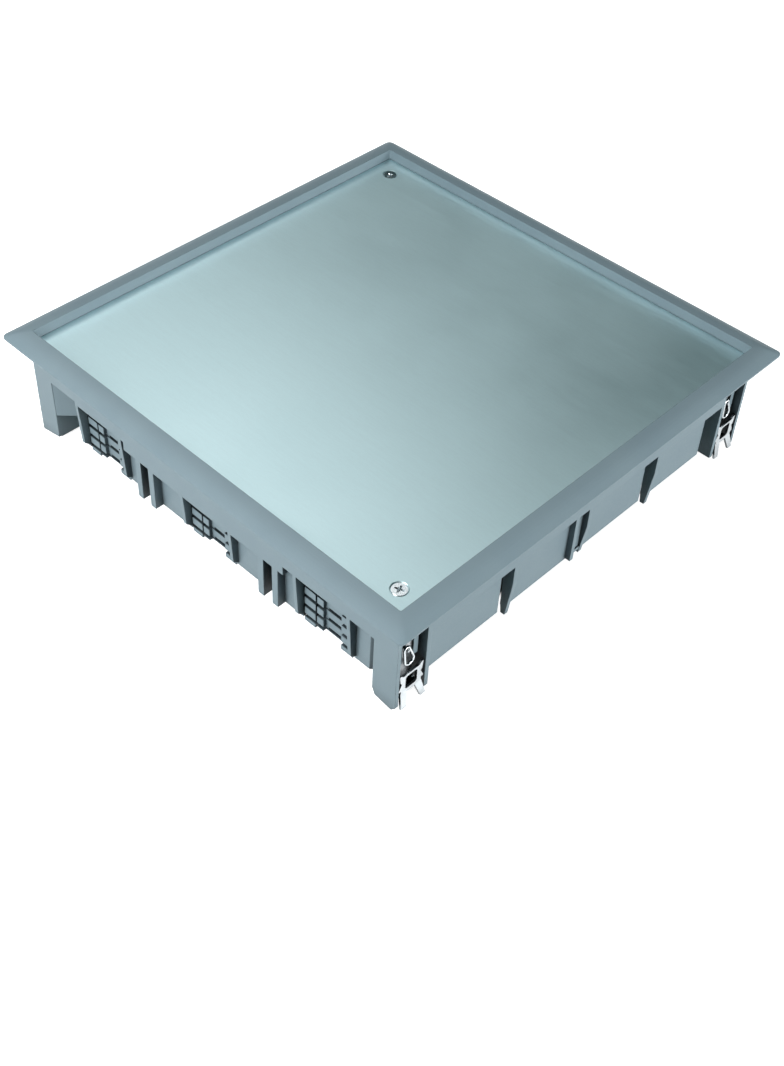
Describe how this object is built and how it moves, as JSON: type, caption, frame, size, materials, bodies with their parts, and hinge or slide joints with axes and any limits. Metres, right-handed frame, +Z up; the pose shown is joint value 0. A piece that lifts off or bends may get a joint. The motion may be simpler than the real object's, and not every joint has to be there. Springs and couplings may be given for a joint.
{
  "type": "floor box cover",
  "caption": "Square flush cover for a floor box: plastic frame with a floor rim, a recessed screwed steel plate and corner claws that grip under the floor.",
  "frame": {"origin": "middle of the square cover at the foot of its corner legs", "axes": "+Z up out of the floor, +X out of the long smooth side with the fins, -Y out of the side with the grid blocks"},
  "size_m": [0.264, 0.264, 0.0617],
  "materials": {
    "frame_plastic": "fine satin moulded",
    "plate_steel": "zinc coated, rolled",
    "seal": "foam",
    "screw_steel": "bright zinc",
    "insert_brass": "machined",
    "claw_steel": "bright zinc",
    "wire": "bright zinc"
  },
  "bodies": {
    "cover": {"frame": "frame_plastic", "cover_plate": "plate_steel", "gasket": "seal", "screw_front": "screw_steel", "screw_rear": "screw_steel", "insert_front": "insert_brass", "insert_rear": "insert_brass"},
    "claw_fr": {"claw_front_right": "claw_steel", "pull_eye_front_right": "wire"},
    "claw_rr": {"claw_rear_right": "claw_steel", "pull_eye_rear_right": "wire"},
    "claw_rl": {"claw_rear_left": "claw_steel", "pull_eye_rear_left": "wire"},
    "claw_fl": {"claw_front_left": "claw_steel", "pull_eye_front_left": "wire"}
  },
  "joints": [
    {"name": "claw_fr_lift", "type": "slide", "parent": "cover", "child": "claw_fr", "axis": [0, 0, 1], "range_m": [0, 0.015]},
    {"name": "claw_rr_lift", "type": "slide", "parent": "cover", "child": "claw_rr", "axis": [0, 0, 1], "range_m": [0, 0.015]},
    {"name": "claw_rl_lift", "type": "slide", "parent": "cover", "child": "claw_rl", "axis": [0, 0, 1], "range_m": [0, 0.015]},
    {"name": "claw_fl_lift", "type": "slide", "parent": "cover", "child": "claw_fl", "axis": [0, 0, 1], "range_m": [0, 0.015]}
  ]
}
